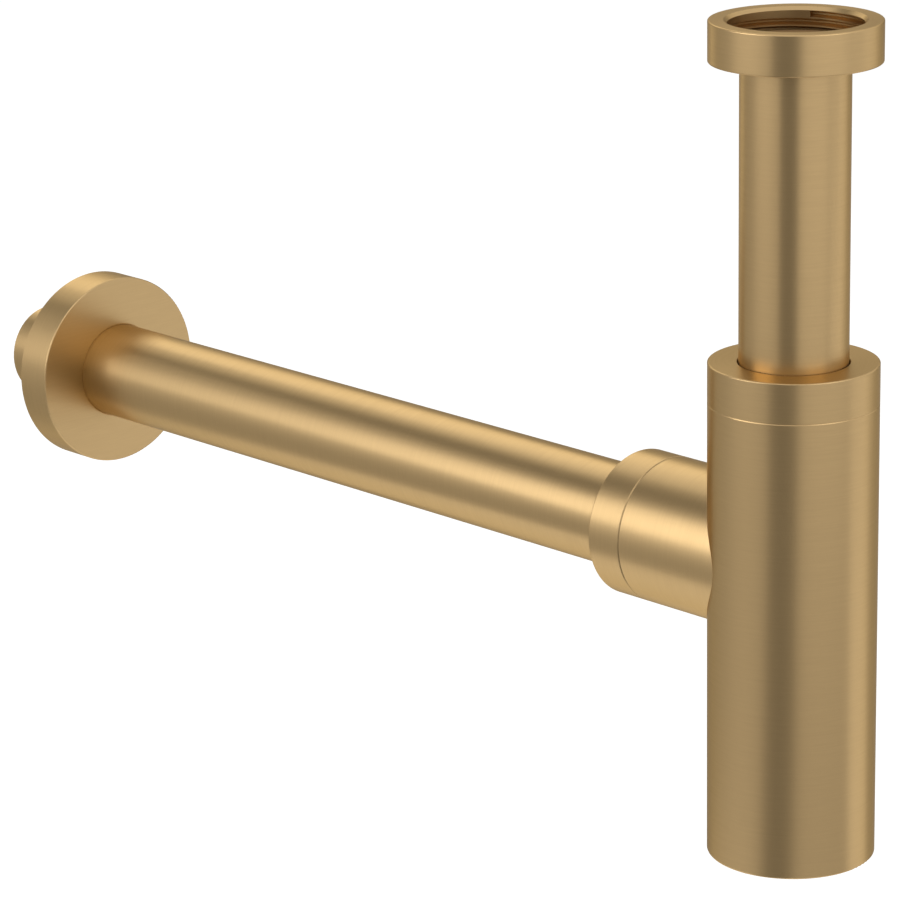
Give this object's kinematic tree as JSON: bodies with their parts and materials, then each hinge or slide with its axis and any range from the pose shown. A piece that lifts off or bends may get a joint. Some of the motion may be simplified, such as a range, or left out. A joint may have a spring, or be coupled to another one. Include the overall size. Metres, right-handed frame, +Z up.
{
  "type": "bottle trap",
  "caption": "Round metal bottle trap: a union nut and dip pipe drop into a plain cylindrical bottle, and a side pipe runs from it to a round wall flange.",
  "frame": {"origin": "on the inlet axis, on the gasket's top face at the inner end of the union nut's thread", "axes": "+Z up along the inlet pipe, +Y along the waste pipe to the wall"},
  "size_m": [0.065, 0.3806, 0.2508],
  "materials": {
    "brass": "brushed satin gold",
    "rubber": "matte black",
    "plastic": "plain white"
  },
  "bodies": {
    "union_nut": {"inlet_nut": "brass"},
    "tailpiece": {"inlet_pipe": "brass", "inlet_gasket": "rubber"},
    "bottle": {"bottle": "brass", "cap_seal": "rubber", "collar_seal": "rubber"},
    "cap_washer": {"cap_slip_ring": "plastic"},
    "cap": {"cap": "brass"},
    "collar_washer": {"collar_slip_ring": "plastic"},
    "collar": {"collar": "brass"},
    "plug_washer": {"plug_gasket": "rubber"},
    "plug": {"cleanout_plug": "brass"},
    "waste_pipe": {"waste_pipe": "brass"},
    "flange": {"wall_flange": "brass", "flange_o_ring": "rubber"}
  },
  "joints": [
    {"name": "inlet_swivel", "type": "hinge", "parent": "union_nut", "child": "tailpiece", "pos_m": [0, 0, 0], "axis": [0, 0, 1], "continuous": true},
    {"name": "bottle_height", "type": "slide", "parent": "tailpiece", "child": "bottle", "axis": [0, 0, 1], "range_m": [-0.025, 0.009]},
    {"name": "cap_travel", "type": "slide", "parent": "bottle", "child": "cap_washer", "axis": [0, 0, 1], "range_m": [0, 0.0075]},
    {"name": "cap_turn", "type": "hinge", "parent": "cap_washer", "child": "cap", "pos_m": [0, 0, -0.0932], "axis": [0, 0, 1], "range_deg": [0, 1800]},
    {"name": "collar_travel", "type": "slide", "parent": "bottle", "child": "collar_washer", "axis": [0, 1, 0], "range_m": [0, 0.0075]},
    {"name": "collar_turn", "type": "hinge", "parent": "collar_washer", "child": "collar", "pos_m": [0, 0.06215, -0.1552], "axis": [0, 1, 0], "range_deg": [0, 1800]},
    {"name": "plug_travel", "type": "slide", "parent": "bottle", "child": "plug_washer", "axis": [0, 0, -1], "range_m": [0, 0.0045]},
    {"name": "plug_turn", "type": "hinge", "parent": "plug_washer", "child": "plug", "pos_m": [0, 0, -0.2442], "axis": [0, 0, -1], "range_deg": [0, 1080]},
    {"name": "waste_reach", "type": "slide", "parent": "bottle", "child": "waste_pipe", "axis": [0, 1, 0], "range_m": [-0.015, 0.015]},
    {"name": "flange_slide", "type": "slide", "parent": "waste_pipe", "child": "flange", "axis": [0, 1, 0], "range_m": [-0.23, 0.022]}
  ],
  "couplings": [
    {"joint": "cap_travel", "follows": "cap_turn", "m_per_rad": 0.00023873},
    {"joint": "collar_travel", "follows": "collar_turn", "m_per_rad": 0.00023873},
    {"joint": "plug_travel", "follows": "plug_turn", "m_per_rad": 0.00023873}
  ]
}
